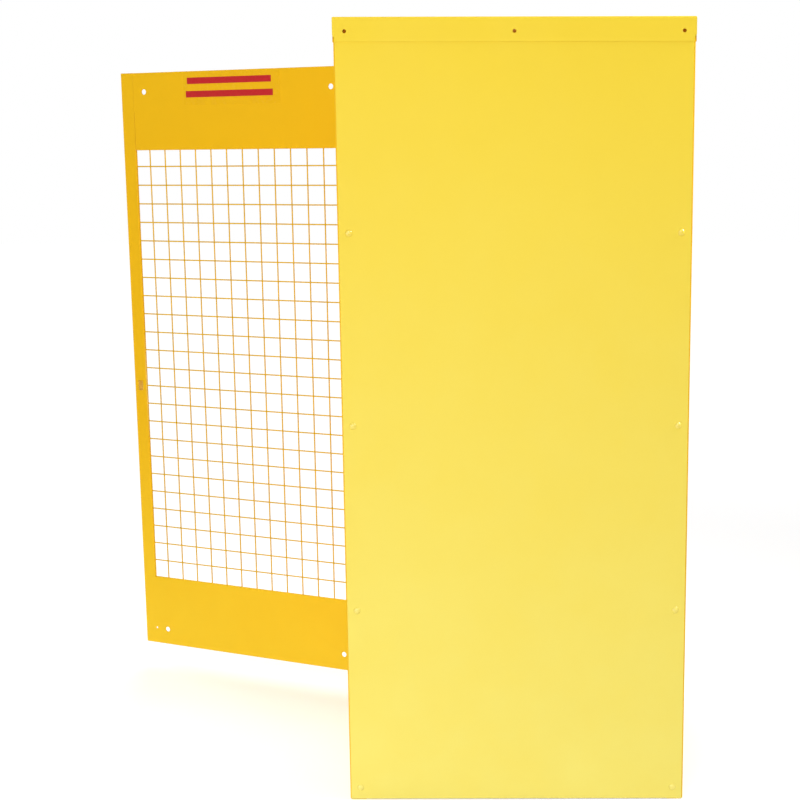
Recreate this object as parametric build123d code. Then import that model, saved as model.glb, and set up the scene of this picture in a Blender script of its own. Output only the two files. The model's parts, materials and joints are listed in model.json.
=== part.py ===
"""Safety cabinet for upright gas cylinders: folded steel sheet on four corner posts,
with a bolted rear panel, a lipped roof cap and a welded wire mesh door.

Millimetres. The origin is the centre of the footprint on the floor, +Z is up, the front
faces -Y and the door hangs on the +X front corner, swung open as it stands in use.
"""
import os
from math import asin, cos, sin

from build123d import *

# Overall size of the cabinet, measured over the roof cap
cabinet_width = 762.0
cabinet_depth = 762.0
cabinet_height = 1727.0

# Sheet and bends
roof_sheet = 1.5
panel_sheet = 1.5
post_sheet = 3.0
pan_sheet = 2.0
outer_bend = 3.0
post_outer_bend = 4.5
cut_overrun = 5.0

# Roof cap
roof_lip_height = 51.0
lip_nip_width = 4.0
lip_nip_height = 15.0
lip_hole_radius = 4.0
under_roof_gap = 3.0

# Posts and feet
post_leg = 35.0
foot_reveal = 2.0
foot_plate_size = 60.0
foot_plate_thickness = 4.0
anchor_hole_radius = 6.0
anchor_inset = 41.0
anchor_access_width = 32.0

# Side and rear panels
side_flange_width = 40.0
vent_slot_length = 80.0
vent_slot_height = 8.0
vent_column_pitch = 150.0
vent_row_pitch = 26.0
vent_columns = 4
vent_rows = 3
vent_bank_inset = 170.0

# Floor pan and its stiffener
floor_height = 75.0
pan_flange_gap = 2.0
floor_rib_height = 30.0
roof_rib_height = 20.0
rib_crown_width = 40.0
rib_foot_width = 16.0

# Header over the door opening
header_height = 84.0
header_return = 20.0

# Rear panel bolts
bolt_radius = 4.0
bolt_neck = 8.0
bolt_neck_clearance = 0.4
bolt_head_radius = 8.0
bolt_head_height = 4.5
bolt_head_sides = 12
bolt_head_rings = 3
bolt_shank_sides = 12
bolt_side_inset = 25.6
bolt_top_inset = 29.4
bolt_bottom_height = 29.0
bolt_rows = 5
bolt_tail = 3.0
nut_sides = 6
nut_across_flats = 13.0
nut_height = 6.5
nut_bore_clearance = 0.05

# Cylinder restraint rails
rail_face_height = 40.0
rail_depth = 20.0
rail_end_gap = 1.5
rail_lower_height = 650.0
rail_upper_height = 1150.0
chain_slot_count = 4
chain_slot_pitch = 160.0
chain_slot_head_width = 22.0
chain_slot_head_height = 14.0
chain_slot_throat_width = 9.0
chain_slot_throat_height = 16.0

# Door, a formed pan closed up behind its face
door_latch_reveal = 12.0
door_lip_cover = 3.0
door_bottom = 61.0
door_depth = 28.0
door_gap = 3.0
door_sheet = 1.5
stile_width = 41.0
top_band_height = 207.0
bottom_band_height = 200.0
window_lip = 6.0
latch_flange_width = 12.0
seam_width = 0.8
seam_length = 100.0
door_hole_radius = 7.25
door_hole_side_inset = 77.0
door_hole_top_inset = 51.0
door_hole_bottom_inset = 45.0
tag_hole_radius = 3.0
tag_hole_side_inset = 39.0
tag_hole_bottom_inset = 46.0

# Welded wire mesh
wire_radius = 1.7
mesh_pitch = 50.8
wire_sides = 8
first_vertical_inset = 42.0
first_horizontal_drop = 44.0
last_wire_gap = 5.0
wire_end_overlap = 5.0

# Padlock slot in the door and the staple that comes through it
slot_width = 16.0
slot_height = 28.0
slot_corner_radius = 1.5
slot_height_on_door = 757.0
staple_thickness = 6.0
staple_height = 22.0
staple_base_width = 26.0
staple_base_height = 60.0
staple_base_thickness = 2.5
padlock_hole_radius = 5.25
padlock_hole_gap = 3.0

# Hinges
hinge_length = 80.0
hinge_inset = 150.0
knuckle_radius = 6.0
hinge_side_gap = 0.5
leaf_thickness = 4.0
fixed_leaf_length = 45.0
door_leaf_length = 24.0
leaf_relief = 2.0
knuckle_gap = 0.5
pin_radius = 3.0
pin_clearance = 0.05
pin_tip = 2.0
knuckle_sweep_clearance = 0.3
door_open_angle = 155.0

# Rubber bumpers on the latch jamb
bumper_width = 12.0
bumper_height = 20.0
bumper_air = 0.3
bumper_end_inset = 160.0
bumper_count = 3

# Planes shared by the pieces
half_width = cabinet_width / 2
half_depth = cabinet_depth / 2
panel_x = half_width - roof_sheet
panel_inner_x = panel_x - panel_sheet
rear_y = half_depth - roof_sheet
front_y = -rear_y
rear_flange_y = rear_y - panel_sheet
post_rear_y = rear_flange_y - panel_sheet
post_front_y = front_y + panel_sheet
post_inner_x = panel_inner_x - post_sheet
post_inner_rear_y = post_rear_y - post_sheet
post_inner_front_y = post_front_y + post_sheet
jamb_x = panel_x - side_flange_width
lip_bottom = cabinet_height - roof_lip_height
roof_under = cabinet_height - roof_sheet
panel_top = roof_under - under_roof_gap
pan_under = floor_height - pan_sheet
pan_flange_bottom = foot_plate_thickness + pan_flange_gap
bolt_x = half_width - bolt_side_inset
bolt_top = cabinet_height - bolt_top_inset
bolt_pitch = (bolt_top - bolt_bottom_height) / (bolt_rows - 1)
bolt_hole = bolt_neck + bolt_neck_clearance
anchor_x = half_width - anchor_inset
anchor_y = half_depth - anchor_inset

free_x = door_latch_reveal - half_width
hinge_x = half_width
door_back_y = front_y - door_gap
door_face_y = door_back_y - door_depth
door_top = lip_bottom + door_lip_cover
door_height = door_top - door_bottom
window_bottom = door_bottom + bottom_band_height
window_top = door_top - top_band_height
window_free_x = free_x + stile_width
window_hinge_x = hinge_x - stile_width
lip_back_y = door_face_y + window_lip
wire_turn = 180 / wire_sides
slot_x = free_x + stile_width / 2
slot_z = door_bottom + slot_height_on_door
pin_x = half_width + hinge_side_gap + knuckle_radius
pin_y = door_back_y
hinge_heights = [
    door_bottom + hinge_inset,
    door_bottom + door_height / 2,
    door_top - hinge_inset,
]

parts = {}


def block(x0, x1, y0, y1, z0, z1):
    """Return the box between two corners, given as the ends of each side."""
    size = Box(abs(x1 - x0), abs(y1 - y0), abs(z1 - z0))
    return Pos((x0 + x1) / 2, (y0 + y1) / 2, (z0 + z1) / 2) * size


def drill_x(x0, x1, y, z, radius):
    """Return a cutter along X."""
    centre = Pos((x0 + x1) / 2, y, z)
    return centre * Rot(0, 90, 0) * Cylinder(radius, abs(x1 - x0))


def drill_y(x, y0, y1, z, radius):
    """Return a cutter along Y."""
    centre = Pos(x, (y0 + y1) / 2, z)
    return centre * Rot(90, 0, 0) * Cylinder(radius, abs(y1 - y0))


def drill_z(x, y, z0, z1, radius):
    """Return a cutter along Z."""
    return Pos(x, y, (z0 + z1) / 2) * Cylinder(radius, abs(z1 - z0))


def folded(points, sheet, bend, side):
    """Return the section of a folded sheet whose outer skin runs through the points.

    The sheet lies to the given side of the run of points, and every fold has the same
    outer radius.
    """
    skin = FilletPolyline(*points, radius=bend)
    return make_face(skin.offset_2d(sheet, side=side).edges())


def along_x(section, x0, x1):
    """Extrude a section drawn in Y and Z from x0 to x1."""
    return Pos(min(x0, x1), 0, 0) * extrude(Plane.YZ * section, abs(x1 - x0))


def along_y(section, y0, y1):
    """Extrude a section drawn in X and Z from y0 to y1."""
    return Pos(0, max(y0, y1), 0) * extrude(Plane.XZ * section, abs(y1 - y0))


def along_z(section, z0, z1):
    """Extrude a section drawn in X and Y from z0 to z1."""
    return Pos(0, 0, min(z0, z1)) * extrude(section, abs(z1 - z0))


def punch_y(x, y0, y1, z, width):
    """Return a square cutter along Y."""
    half = width / 2
    return block(x - half, x + half, y0, y1, z - half, z + half)


def keep(name, *solids):
    """File the solids of one named piece or group of identical pieces."""
    parts[name] = [solid for shape in solids for solid in shape.solids()]


def hang(shape):
    """Swing a piece of the closed door to the open angle it stands at."""
    pin = Axis((pin_x, pin_y, 0), (0, 0, 1))
    return shape.rotate(pin, door_open_angle)


def bolt_heights():
    """Heights of the punched rows: bolts fill all but the last, under the roof lip."""
    return [bolt_bottom_height + row * bolt_pitch for row in range(bolt_rows)]


def lip_nip(corner, side):
    """Triangle cut from the lower end of a roof lip, drawn upright at the corner."""
    return make_face(Polyline(
        (corner, lip_bottom),
        (corner - side * lip_nip_width, lip_bottom),
        (corner, lip_bottom + lip_nip_height),
        close=True,
    ))


def make_roof():
    """Roof cap: a pan turned upside down, with nipped lip corners and open lip holes."""
    outer = block(-half_width, half_width, -half_depth, half_depth, lip_bottom, cabinet_height)
    outer = fillet(outer.edges().group_by(Axis.Z)[-1], outer_bend)
    inner = block(-panel_x, panel_x, front_y, rear_y, lip_bottom - cut_overrun, roof_under)
    inner = fillet(inner.edges().group_by(Axis.Z)[-1], outer_bend - roof_sheet)
    cap = outer - inner
    for side in (-1, 1):
        for turn in (-1, 1):
            nip = lip_nip(side * half_width, side)
            cap -= along_y(nip, turn * half_depth, turn * (half_depth - lip_nip_width))
            nip = lip_nip(turn * half_depth, turn)
            cap -= along_x(nip, side * half_width, side * (half_width - lip_nip_width))
    for x in (-bolt_x, 0, bolt_x):
        cap -= drill_y(x, 0, half_depth + cut_overrun, bolt_top, lip_hole_radius)
    keep("roof_cap", cap)


def hat_section(height):
    """Section of a hat rib hanging from the plane at height zero."""
    crown = rib_crown_width / 2
    toe = crown + rib_foot_width
    points = [(-toe, 0), (-crown, 0), (-crown, -height), (crown, -height), (crown, 0), (toe, 0)]
    return folded(points, panel_sheet, outer_bend, Side.RIGHT)


def make_ribs():
    """Hat ribs under the roof and under the floor pan, each wall to wall."""
    roof_rib = along_x(hat_section(roof_rib_height), -panel_inner_x, panel_inner_x)
    keep("roof_stiffener", Pos(0, 0, roof_under) * roof_rib)
    reach = post_inner_x - pan_sheet
    floor_rib = along_x(hat_section(floor_rib_height), -reach, reach)
    keep("floor_stiffener", Pos(0, 0, pan_under) * floor_rib)


def make_rear_panel():
    """Flat rear panel over the side panels' flanges, bolted to the rear posts."""
    edge_x = panel_x - outer_bend
    panel = block(-edge_x, edge_x, rear_flange_y, rear_y, foot_reveal, panel_top)
    for z in bolt_heights():
        for x in (-bolt_x, bolt_x):
            panel -= punch_y(x, 0, half_depth, z, bolt_hole)
    panel -= drill_y(0, 0, half_depth, bolt_top, lip_hole_radius)
    keep("rear_panel", panel)


def vent_cutter(centre_z):
    """Bank of flat slots that lets gas out of a side panel."""
    slots = Sketch()
    for row in range(vent_rows):
        for column in range(vent_columns):
            y = (column - (vent_columns - 1) / 2) * vent_column_pitch
            z = centre_z + (row - (vent_rows - 1) / 2) * vent_row_pitch
            slots += Pos(y, z) * Rectangle(vent_slot_length, vent_slot_height)
    return slots


def make_side_panels():
    """Side panels folded round the posts at the front and the rear."""
    points = [
        (jamb_x, front_y),
        (panel_x, front_y),
        (panel_x, rear_flange_y),
        (jamb_x, rear_flange_y),
    ]
    section = folded(points, panel_sheet, outer_bend, Side.LEFT)
    panel = along_z(section, foot_reveal, panel_top)
    for centre_z in (floor_height + vent_bank_inset, lip_bottom - vent_bank_inset):
        panel -= along_x(vent_cutter(centre_z), 0, half_width)
    for z in bolt_heights():
        panel -= punch_y(bolt_x, 0, half_depth, z, bolt_hole)
    keep("right_side_panel", panel)
    keep("left_side_panel", mirror(panel, Plane.YZ))


def make_posts():
    """Corner posts of folded angle, standing a little below the panels."""
    corners = {
        "rear": (post_rear_y, post_rear_y - post_leg, Side.LEFT),
        "front": (post_front_y, post_front_y + post_leg, Side.RIGHT),
    }
    for name, (corner_y, leg_y, side) in corners.items():
        points = [
            (panel_inner_x, leg_y),
            (panel_inner_x, corner_y),
            (panel_inner_x - post_leg, corner_y),
        ]
        section = folded(points, post_sheet, post_outer_bend, side)
        post = along_z(section, 0, roof_under)
        if name == "rear":
            for z in bolt_heights():
                post -= punch_y(bolt_x, 0, half_depth, z, bolt_hole)
        keep(f"{name}_right_post", post)
        keep(f"{name}_left_post", mirror(post, Plane.YZ))


def corner_notch(side, turn):
    """Cutter that clears the inner bend of a post from what fits inside it."""
    corner_y = post_inner_rear_y if turn > 0 else post_inner_front_y
    return block(
        side * post_inner_x, side * (post_inner_x - outer_bend),
        corner_y, corner_y - turn * outer_bend, 0, floor_height,
    )


def make_foot_plates():
    """Foot plates inside the posts, with the holes that anchor the cabinet to the floor."""
    plates = []
    for side in (-1, 1):
        outer_x = side * post_inner_x
        inner_x = side * (post_inner_x - foot_plate_size)
        for outer_y, turn in ((post_inner_rear_y, 1), (post_inner_front_y, -1)):
            inner_y = outer_y - turn * foot_plate_size
            plate = block(outer_x, inner_x, outer_y, inner_y, 0, foot_plate_thickness)
            plate -= corner_notch(side, turn)
            x = side * anchor_x
            y = turn * anchor_y
            plates.append(plate - drill_z(x, y, -cut_overrun, floor_height, anchor_hole_radius))
    keep("foot_plates", *plates)


def anchor_access(x, y):
    """Square cutter over an anchor hole, for the socket that turns the anchor."""
    half = anchor_access_width / 2
    return block(x - half, x + half, y - half, y + half, pan_under, floor_height)


def make_floor_pan():
    """Raised floor with its edges turned down, notched round the front posts."""
    points = [
        (front_y, foot_reveal),
        (front_y, floor_height),
        (post_inner_rear_y, floor_height),
        (post_inner_rear_y, pan_flange_bottom),
    ]
    section = folded(points, pan_sheet, outer_bend, Side.RIGHT)
    pan = along_x(section, -jamb_x, jamb_x)
    points = [
        (post_inner_front_y, floor_height),
        (post_inner_rear_y, floor_height),
        (post_inner_rear_y, pan_flange_bottom),
    ]
    wing = folded(points, pan_sheet, outer_bend, Side.RIGHT)
    for side in (-1, 1):
        pan += along_x(wing, side * jamb_x, side * post_inner_x)
        skirt_x = side * post_inner_x
        pan += block(
            skirt_x - side * pan_sheet, skirt_x,
            post_inner_front_y, post_inner_rear_y - outer_bend,
            pan_flange_bottom, floor_height,
        )
        for turn in (-1, 1):
            pan -= anchor_access(side * anchor_x, turn * anchor_y)
            pan -= corner_notch(side, turn)
        pan -= punch_y(side * bolt_x, 0, half_depth, bolt_bottom_height, bolt_hole)
    keep("floor_pan", pan)


def make_header():
    """Header between the jambs, closing the opening above the door."""
    bottom = roof_under - header_height
    points = [(front_y, panel_top), (front_y, bottom), (front_y + header_return, bottom)]
    section = folded(points, panel_sheet, outer_bend, Side.LEFT)
    keep("front_header", along_x(section, -jamb_x, jamb_x))


def dome(radius, height, sides, rings):
    """Domed bolt head on the plane at height zero, worked out as a slice of a ball."""
    ball = (radius ** 2 + height ** 2) / (2 * height)
    spread = asin(radius / ball)
    sections = Sketch()
    for ring in range(rings):
        angle = spread * (1 - ring / rings)
        level = ball * cos(angle) - (ball - height)
        sections += Pos(0, 0, level) * RegularPolygon(ball * sin(angle), sides)
    return loft(sections, ruled=True)


def make_rear_fasteners():
    """Domed bolts with square necks through the rear panel, and nuts inside the posts."""
    head = dome(bolt_head_radius, bolt_head_height, bolt_head_sides, bolt_head_rings)
    thread = RegularPolygon(bolt_radius, bolt_shank_sides)
    bore = RegularPolygon(bolt_radius + nut_bore_clearance, bolt_shank_sides)
    hexagon = RegularPolygon(nut_across_flats / 2, nut_sides, major_radius=False)
    bolts = []
    nuts = []
    for row, z in enumerate(bolt_heights()[:-1]):
        seat = post_inner_rear_y - (pan_sheet if row == 0 else 0)
        shank = extrude(thread, nut_height + bolt_tail)
        nut = extrude(hexagon - bore, nut_height)
        inward = Pos(bolt_x, seat, z) * Rot(90, 0, 0)
        bolt = Pos(bolt_x, rear_y, z) * Rot(-90, 0, 0) * head
        bolt += punch_y(bolt_x, seat, rear_y, z, bolt_neck)
        bolt += inward * shank
        for side in (-1, 1):
            bolts.append(bolt if side > 0 else mirror(bolt, Plane.YZ))
            nuts.append(inward * nut if side > 0 else mirror(inward * nut, Plane.YZ))
    keep("rear_panel_bolts", *bolts)
    keep("rear_panel_nuts", *nuts)


def chain_slot(face_x, y, height):
    """T-shaped cutter: a link goes in at the wide head and drops into the throat."""
    half_head = chain_slot_head_width / 2
    half_throat = chain_slot_throat_width / 2
    top = height + (chain_slot_head_height + chain_slot_throat_height) / 2
    waist = top - chain_slot_head_height
    bottom = waist - chain_slot_throat_height
    head = block(0, face_x + outer_bend, y - half_head, y + half_head, waist, top)
    throat = block(0, face_x + outer_bend, y - half_throat, y + half_throat, bottom, waist)
    return head + throat


def make_rails():
    """Channels along both side walls, slotted for the chains that hold cylinders."""
    face_x = panel_inner_x - rail_depth
    start = post_front_y + post_leg + rail_end_gap
    end = post_rear_y - post_leg - rail_end_gap
    rails = []
    for height in (rail_lower_height, rail_upper_height):
        low = height - rail_face_height / 2
        high = height + rail_face_height / 2
        points = [(panel_inner_x, low), (face_x, low), (face_x, high), (panel_inner_x, high)]
        section = folded(points, panel_sheet, outer_bend, Side.RIGHT)
        rail = along_y(section, start, end)
        for index in range(chain_slot_count):
            y = (start + end) / 2 + (index - (chain_slot_count - 1) / 2) * chain_slot_pitch
            rail -= chain_slot(face_x, y, height)
        rails.append(rail)
    keep("right_restraint_rails", *rails)
    keep("left_restraint_rails", *[mirror(rail, Plane.YZ) for rail in rails])


def make_staple():
    """Padlock staple on the latch jamb, long enough to stand through the closed door."""
    hole_y = door_face_y - padlock_hole_gap - padlock_hole_radius
    tip_radius = staple_height / 2
    left_x = slot_x - staple_thickness / 2
    right_x = slot_x + staple_thickness / 2
    tongue = block(left_x, right_x, hole_y, front_y, slot_z - tip_radius, slot_z + tip_radius)
    tongue += drill_x(left_x, right_x, hole_y, slot_z, tip_radius)
    tongue -= drill_x(left_x, right_x, hole_y, slot_z, padlock_hole_radius)
    base = block(
        slot_x - staple_base_width / 2, slot_x + staple_base_width / 2,
        front_y - staple_base_thickness, front_y,
        slot_z - staple_base_height / 2, slot_z + staple_base_height / 2,
    )
    keep("padlock_staple", tongue + base)


def make_bumpers():
    """Rubber pads on the latch jamb that the back flange of the closed door meets."""
    x = free_x + latch_flange_width / 2
    face = door_back_y + bumper_air
    step = (door_height - 2 * bumper_end_inset) / (bumper_count - 1)
    pads = []
    for index in range(bumper_count):
        z = door_bottom + bumper_end_inset + index * step
        pads.append(block(
            x - bumper_width / 2, x + bumper_width / 2, face, front_y,
            z - bumper_height / 2, z + bumper_height / 2,
        ))
    keep("door_bumpers", *pads)


def make_stile(side):
    """One door stile: outer return and face, with a window lip along the opening.

    The latch stile is turned in once more along its back, behind the padlock slot's edge.
    """
    outer_x = free_x if side < 0 else hinge_x
    inner_x = window_free_x if side < 0 else window_hinge_x
    lie = Side.LEFT if side < 0 else Side.RIGHT
    points = [(outer_x, door_back_y), (outer_x, door_face_y), (inner_x, door_face_y)]
    if side < 0:
        points.insert(0, (outer_x + latch_flange_width, door_back_y))
    plain = folded(points, door_sheet, outer_bend, lie)
    full = folded(points + [(inner_x, lip_back_y)], door_sheet, outer_bend, lie)
    stile = along_z(full, window_bottom, window_top) + along_z(plain, window_top, door_top)
    skirt_x = outer_x - side * outer_bend
    stile += block(
        skirt_x, inner_x, door_face_y + door_sheet, door_back_y, door_top - door_sheet, door_top)
    return stile


def door_holes(z):
    """The pair of round holes through the face at one end of the door."""
    cutter = drill_y(free_x + door_hole_side_inset, door_face_y - cut_overrun, lip_back_y, z,
                     door_hole_radius)
    cutter += drill_y(hinge_x - door_hole_side_inset, door_face_y - cut_overrun, lip_back_y, z,
                      door_hole_radius)
    return cutter


def make_door_frame():
    """Stiles and bands of the door, drawn closed and then swung open."""
    latch_stile = make_stile(-1)
    slot = Pos(slot_x, slot_z) * RectangleRounded(slot_width, slot_height, slot_corner_radius)
    latch_stile -= along_y(slot, door_face_y - cut_overrun, lip_back_y)
    keep("door_latch_stile", hang(latch_stile))
    keep("door_hinge_stile", hang(make_stile(1)))

    section = folded(
        [(door_back_y, door_top), (door_face_y, door_top), (door_face_y, window_top),
         (lip_back_y, window_top)],
        door_sheet, outer_bend, Side.LEFT)
    top_band = along_x(section, window_free_x, window_hinge_x)
    for edge_x, turn in ((window_free_x, 1), (window_hinge_x, -1)):
        top_band -= block(
            edge_x, edge_x + turn * seam_width,
            door_face_y - cut_overrun, door_back_y,
            window_top - cut_overrun, window_top + seam_length,
        )
    top_band -= door_holes(door_top - door_hole_top_inset)
    keep("door_top_band", hang(top_band))

    section = folded(
        [(door_back_y, door_bottom), (door_face_y, door_bottom), (door_face_y, window_bottom),
         (lip_back_y, window_bottom)],
        door_sheet, outer_bend, Side.RIGHT)
    bottom_band = along_x(section, window_free_x, window_hinge_x)
    for outer_x, inner_x, side in ((free_x, window_free_x, -1), (hinge_x, window_hinge_x, 1)):
        bottom_band += make_corner(outer_x, inner_x, side)
    bottom_band -= door_holes(door_bottom + door_hole_bottom_inset)
    bottom_band -= drill_y(free_x + tag_hole_side_inset, door_face_y - cut_overrun, lip_back_y,
                           door_bottom + tag_hole_bottom_inset, tag_hole_radius)
    keep("door_bottom_band", hang(bottom_band))


def corner_block(outer_x, inner_x, side, inset):
    """Block of a lower door corner, its skin set in, rounded at its two folds."""
    corner = block(
        outer_x - side * inset, inner_x, door_face_y + inset, door_back_y,
        door_bottom + inset, window_bottom,
    )
    front = corner.edges().group_by(Axis.Y)[0]
    bottom_fold = front.filter_by(Axis.X).sort_by(Axis.Z)[0]
    end_fold = front.filter_by(Axis.Z).sort_by(Axis.X)[0 if side < 0 else -1]
    return fillet([bottom_fold, end_fold], outer_bend - inset)


def make_corner(outer_x, inner_x, side):
    """Lower corner of the door, where the bottom band turns back along its end."""
    skin = corner_block(outer_x, inner_x, side, 0)
    return skin - corner_block(outer_x, inner_x, side, door_sheet)


def make_mesh():
    """Welded mesh: level wires inside the window lips, upright ones on the lips' edges."""
    wire = RegularPolygon(wire_radius, wire_sides, major_radius=False, rotation=wire_turn)
    upright_y = lip_back_y + wire_radius
    level_y = lip_back_y - wire_radius
    window_width = window_hinge_x - window_free_x
    window_height = window_top - window_bottom
    upright_count = 1 + int((window_width - first_vertical_inset - last_wire_gap) / mesh_pitch)
    level_count = 1 + int((window_height - first_horizontal_drop - last_wire_gap) / mesh_pitch)
    uprights = []
    for index in range(upright_count):
        x = window_free_x + first_vertical_inset + index * mesh_pitch
        low = window_bottom - wire_end_overlap
        high = window_top + wire_end_overlap
        uprights.append(along_z(Pos(x, upright_y) * wire, low, high))
    keep("mesh_vertical_wires", *[hang(upright) for upright in uprights])
    levels = []
    for index in range(level_count):
        z = window_top - first_horizontal_drop - index * mesh_pitch
        levels.append(along_x(Pos(level_y, z) * wire, window_free_x, window_hinge_x))
    keep("mesh_horizontal_wires", *[hang(level) for level in levels])


def make_hinge(name, centre_z):
    """Lift-off hinge: a pin stands in the fixed knuckle and the door's knuckle turns on it."""
    low = centre_z - hinge_length / 2
    high = centre_z + hinge_length / 2
    seat = centre_z - knuckle_gap
    sweep = knuckle_radius + knuckle_sweep_clearance
    bore = drill_z(pin_x, pin_y, low, high, pin_radius + pin_clearance)

    near_y = pin_y + leaf_relief
    fixed = block(panel_x, panel_x + leaf_thickness, near_y, pin_y + fixed_leaf_length, low, high)
    fixed -= block(panel_x, pin_x, near_y, pin_y + sweep, seat, high)
    fixed += block(panel_x, pin_x, near_y, pin_y + knuckle_radius, low, seat)
    fixed += drill_z(pin_x, pin_y, low, seat, knuckle_radius)
    keep(f"{name}_hinge_fixed_leaf", fixed - bore)

    near_y = pin_y - leaf_relief
    moving = block(hinge_x, hinge_x + leaf_thickness, near_y, pin_y - door_leaf_length, low, high)
    moving -= block(hinge_x, pin_x, near_y, pin_y - sweep, low, centre_z)
    moving += block(hinge_x, pin_x, near_y, pin_y - knuckle_radius, centre_z, high)
    moving += drill_z(pin_x, pin_y, centre_z, high, knuckle_radius)
    keep(f"{name}_hinge_door_leaf", hang(moving - bore))

    keep(f"{name}_hinge_pin", drill_z(pin_x, pin_y, low, high + pin_tip, pin_radius))


make_roof()
make_ribs()
make_rear_panel()
make_side_panels()
make_posts()
make_foot_plates()
make_floor_pan()
make_header()
make_rear_fasteners()
make_rails()
make_staple()
make_bumpers()
make_door_frame()
make_mesh()
for hinge_name, hinge_z in zip(("bottom", "middle", "top"), hinge_heights):
    make_hinge(hinge_name, hinge_z)

os.makedirs("parts", exist_ok=True)
for node, solids in parts.items():
    shape = solids[0] if len(solids) == 1 else Compound(children=solids)
    export_step(shape, f"parts/{node}.step")
    print(node, len(solids), "solid" if len(solids) == 1 else "solids")
print("hinge pin axis", pin_x, pin_y, "door swing closed", -door_open_angle)
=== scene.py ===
"""Looks of the safety cabinet: powder coated sheet steel, a welded wire mesh door,
domed bolts, weld beads, rubber pads, and the photograph's camera in a plain white studio.

Metres, in the part's own frame: the front faces -Y, the rear panel +Y, +Z is up.
"""
import json
from math import cos, pi, radians, sin, tau

import bmesh
import bpy
from mathutils import Matrix, Vector


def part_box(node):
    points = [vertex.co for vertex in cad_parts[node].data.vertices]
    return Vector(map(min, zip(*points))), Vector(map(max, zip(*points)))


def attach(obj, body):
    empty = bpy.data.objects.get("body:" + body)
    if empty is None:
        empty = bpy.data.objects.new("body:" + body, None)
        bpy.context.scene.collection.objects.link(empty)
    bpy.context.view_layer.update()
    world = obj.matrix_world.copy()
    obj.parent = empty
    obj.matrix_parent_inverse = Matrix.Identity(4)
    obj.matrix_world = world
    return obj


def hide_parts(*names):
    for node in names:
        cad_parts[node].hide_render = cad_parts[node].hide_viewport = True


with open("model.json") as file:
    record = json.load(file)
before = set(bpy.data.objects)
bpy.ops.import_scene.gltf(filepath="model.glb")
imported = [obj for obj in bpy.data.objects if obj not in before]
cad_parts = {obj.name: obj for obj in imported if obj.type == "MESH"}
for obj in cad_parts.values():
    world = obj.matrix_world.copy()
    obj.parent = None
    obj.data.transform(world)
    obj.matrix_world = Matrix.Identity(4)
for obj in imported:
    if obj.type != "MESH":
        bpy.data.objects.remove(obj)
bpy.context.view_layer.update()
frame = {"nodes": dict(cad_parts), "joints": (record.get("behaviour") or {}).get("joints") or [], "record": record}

mm = 0.001

# Camera, fitted to the photograph's outline of the rear panel, the door and its mesh
photo_width_px = 800
focal_length_px = 1579.2
view_centre_x_px = 517.6
view_centre_y_px = 473.6
camera_x = -5.7 * mm
camera_y = 3789.6 * mm
camera_z = 1400.1 * mm
camera_pitch = 0.1863
camera_yaw = 0.0004
camera_roll = 0.0024

# Door frame of reference: the door is modelled standing open
door_open_angle = radians(155.0)
hinge = next(joint for joint in frame["joints"] if joint["name"] == "door_hinge")
hinge_pin = Vector(hinge["pos_m"])


def swing(angle):
    """Turn about the hinge pin, as a matrix."""
    there = Matrix.Translation(hinge_pin)
    return there @ Matrix.Rotation(angle, 4, "Z") @ there.inverted()


def closed_box(name):
    """Lowest and highest corner of a door piece as it stands when the door is closed."""
    close = swing(-door_open_angle)
    points = [close @ vertex.co for vertex in frame["nodes"][name].data.vertices]
    low = Vector([min(point[axis] for point in points) for axis in range(3)])
    high = Vector([max(point[axis] for point in points) for axis in range(3)])
    return low, high


def colour(red, green, blue):
    """Linear colour of an 8 bit screen colour, by the sRGB curve."""
    def linear(value):
        share = value / 255
        return share / 12.92 if share <= 0.04045 else ((share + 0.055) / 1.055) ** 2.4
    return (linear(red), linear(green), linear(blue), 1.0)


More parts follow.
